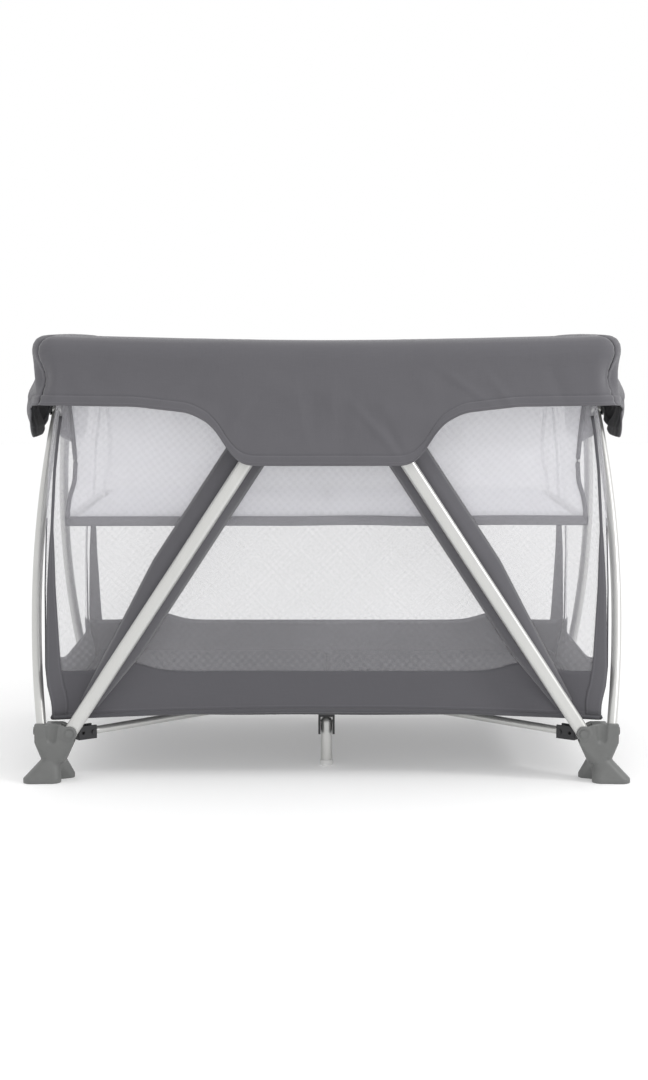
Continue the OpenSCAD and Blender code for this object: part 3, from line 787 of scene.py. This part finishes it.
def bassinet_wall(side_name, kind, side):
    body = side_name + "_hub"
    columns = 97 if kind == "long" else 73
    rows = []
    for i in range(41):
        t = 0.03 + 0.97 * i / 40
        row = []
        for j in range(columns):
            s = -1 + 2 * j / (columns - 1)
            p = bassinet_point(kind, side, s, t)
            slack = (1 - s ** 6) * math.sin(math.pi * t) ** 0.7
            wrinkle = 0.0055 * ripple((p.x * 1.0, p.y, p.z * 0.4), 9, 5.1 * side)
            wrinkle += 0.0030 * ripple((p.x * 1.2 + p.z * 0.5, p.y * 1.2, p.z * 0.4), 22, 2.3 * side)
            wrinkle += 0.0012 * ripple((p.x + p.z, p.y, p.z), 60, 1.3 * side)
            row.append(bassinet_point(kind, side, s, t, wrinkle * slack - 0.002 * slack))
        rows.append(row)
    wall = grid("bassinet_net_" + side_name, rows, M["bass_net"])
    band_rows = []
    for i in range(7):
        t = 0.017 / (BASS_TOP - BASS_BOTTOM) * i / 6
        band_rows.append([bassinet_point(kind, side, -1 + 2 * j / 60, t,
                                         0.0022 + 0.0008 * math.sin(math.pi * i / 6)
                                         + 0.0012 * ripple((j * 0.1, side, i * 0.1), 2.3)) for j in range(61)])
    for row in band_rows:
        for p in row:
            p.z += 0.0022 * ripple((p.x, p.y, 0), 7, 4.4)
    band = grid("bassinet_band_" + side_name, band_rows, M["bass_binding"])
    thicken(band, 0.0016)
    seams = []
    for sign in (-1, 1):
        points = [bassinet_point(kind, side, sign * 0.994, t, 0.0012) for t in np.linspace(0.03, 1, 34)]
        width = 0.0036 if side_name == "front" else 0.0011
        seam_name = f"bassinet_seam_{side_name}_{'l' if sign < 0 else 'r'}"
        seams.append(tube(seam_name, points, width, M["bass_binding"], 8))
    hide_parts("bassinet_" + side_name)
    for p in [wall, band, *seams]:
        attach(p, body)
        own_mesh(p)


for side_name, side in LONG_SIDES.items():
    bassinet_wall(side_name, "long", side)
for side_name, side in END_SIDES.items():
    bassinet_wall(side_name, "end", side)


# ---------------------------------------------------------------- pads
def pad_shape(name, low, high, material, crown, side, columns=61, rows_count=49, dips=()):
    """A crowned closed pad that fills the box from low to high, with rounded edges and sewn dips."""
    size = high - low
    radius = size.z * 0.5
    verts, faces = [], []
    for top in (1, 0):
        for i in range(rows_count):
            for j in range(columns):
                u, v = j / (columns - 1), i / (rows_count - 1)
                x, y = low.x + size.x * u, low.y + size.y * v
                from_middle = (u if side > 0 else 1 - u) * size.x
                edge = min(from_middle * 3, size.x - from_middle, min(v, 1 - v) * size.y)
                swell = math.sqrt(max(0, 1 - (1 - min(1, edge / radius)) ** 2))
                middle = low.z + size.z * 0.5
                z = middle + (1 if top else -1) * radius * swell
                if top:
                    z += crown * math.sin(math.pi * u) * math.sin(math.pi * v) - crown
                    z += 0.0012 * ripple((x, y, 0), 14, 2.2) * swell
                    for dip in dips:
                        z -= 0.006 * math.exp(-((x - dip) / 0.006) ** 2) * swell
                verts.append((x, y, z))
    size_one = rows_count * columns
    for top in (0, 1):
        for i in range(rows_count - 1):
            for j in range(columns - 1):
                a = top * size_one + i * columns + j
                quad = (a, a + 1, a + columns + 1, a + columns)
                faces.append(quad if top == 0 else quad[::-1])
    mesh = bpy.data.meshes.new(name)
    mesh.from_pydata(verts, [], faces)
    bm = bmesh.new()
    bm.from_mesh(mesh)
    bmesh.ops.remove_doubles(bm, verts=bm.verts, dist=0.0004)
    bmesh.ops.recalc_face_normals(bm, faces=bm.faces)
    bm.to_mesh(mesh)
    bm.free()
    box_uv(mesh)
    smooth(mesh)
    return new_piece(name, mesh, material)


def box_uv(mesh):
    """UVs in metres from above, so that weave and thread keep their size."""
    layer = mesh.uv_layers.get("UVMap") or mesh.uv_layers.new(name="UVMap")
    for polygon in mesh.polygons:
        for loop in polygon.loop_indices:
            co = mesh.vertices[mesh.loops[loop].vertex_index].co
            layer.data[loop].uv = (co.x, co.y + co.z)


def puff(piece, pressure, cap):
    """Swells a pad by cloth simulation, with each point held within cap of where it started."""
    start = np.array([v.co for v in piece.data.vertices])
    cloth = piece.modifiers.new("cloth", "CLOTH")
    cloth.settings.use_pressure = True
    cloth.settings.uniform_pressure_force = pressure
    cloth.settings.effector_weights.gravity = 0
    cloth.settings.quality = 5
    scene = bpy.context.scene
    for frame_number in range(1, 16):
        scene.frame_set(frame_number)
    graph = bpy.context.evaluated_depsgraph_get()
    done = piece.evaluated_get(graph)
    moved = np.array([v.co for v in done.data.vertices]) - start
    length = np.linalg.norm(moved, axis=1, keepdims=True)
    moved *= np.minimum(1, cap / np.maximum(length, 1e-9))
    piece.modifiers.clear()
    scene.frame_set(1)
    piece.data.vertices.foreach_set("co", (start + moved).astype(np.float32).ravel())
    piece.data.update()


for side_name, side in END_SIDES.items():
    low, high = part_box("mattress_" + side_name)
    inset = Vector((0.0002, 0.004, 0.001))
    dips = [side * 0.24]
    pad = pad_shape("mattress_pad_" + side_name, low + inset, high - inset, M["mattress"], 0.002, side, dips=dips)
    puff(pad, 2.0, 0.003)
    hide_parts("mattress_" + side_name)
    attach(pad, "mattress_" + side_name)
    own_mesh(pad)
    low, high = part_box("bassinet_pad_" + side_name)
    pad = pad_shape("bassinet_cushion_" + side_name, low + inset, high - inset, M["pad"], 0.003, side,
                    dips=[side * 0.22])
    puff(pad, 2.0, 0.003)
    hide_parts("bassinet_pad_" + side_name)
    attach(pad, "bassinet_pad_" + side_name)
    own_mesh(pad)

# floor cloth: a quarter rides on each base spoke
first_quarter = True
for corner, (sx, sy) in CORNERS.items():
    rows = []
    for i in range(25):
        row = []
        for j in range(33):
            x = floor_high.x * j / 32 * sx
            y = floor_high.y * i / 24 * sy
            sag = 0.001 * ripple((x, y, 0), 8) * (i > 0 and j > 0)
            turned_up = max(0.0, (i - 22) / 2) * (0.016 * (1 - (x / 0.485) ** 2))
            row.append(Vector((x, y, floor_low.z + 0.0006 + sag + turned_up)))
        rows.append(row)
    quarter = grid("floor_quarter_" + corner, rows, M["floor"])
    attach(quarter, "base_spoke_" + corner)
    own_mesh(quarter)
    if first_quarter:
        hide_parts("floor_cloth")
        first_quarter = False


# ---------------------------------------------------------------- feet and small parts
def soften(node_name, new_name, material, voxel, smoothing):
    """A rounded copy of a CAD node: its own shape, remeshed finely and relaxed."""
    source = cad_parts[node_name]
    mesh = source.data.copy()
    mesh.materials.clear()
    mesh.materials.append(material)
    piece = bpy.data.objects.new(new_name, mesh)
    bpy.context.scene.collection.objects.link(piece)
    remesh = piece.modifiers.new("remesh", "REMESH")
    remesh.mode, remesh.voxel_size = "VOXEL", voxel
    relax = piece.modifiers.new("relax", "SMOOTH")
    relax.factor, relax.iterations = 0.5, smoothing
    apply(piece)
    if not piece.data.materials:
        piece.data.materials.append(material)
    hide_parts(node_name)
    return piece


for corner in CORNERS:
    piece = soften("foot_" + corner, "foot_shell_" + corner, M["foot"], 0.0016, 4)
    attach(piece, "foot_" + corner)
for side_name, side in LONG_SIDES.items():
    low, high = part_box("center_leg_" + side_name)
    x, y = 0.0, (low.y + high.y) / 2
    rings = [(0.0105, 0.0), (0.0118, 0.001), (0.0122, 0.004), (0.0122, 0.008), (0.0113, 0.0105), (0.0108, 0.011)]
    rows = [[Vector((x + r * math.cos(a), y + r * math.sin(a), z + 0.0002))
             for a in (2 * math.pi * k / 32 for k in range(32))] for r, z in rings]
    glide = grid("glide_" + side_name, rows, M["glide"], closed=True)
    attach(glide, "center_leg_" + side_name)
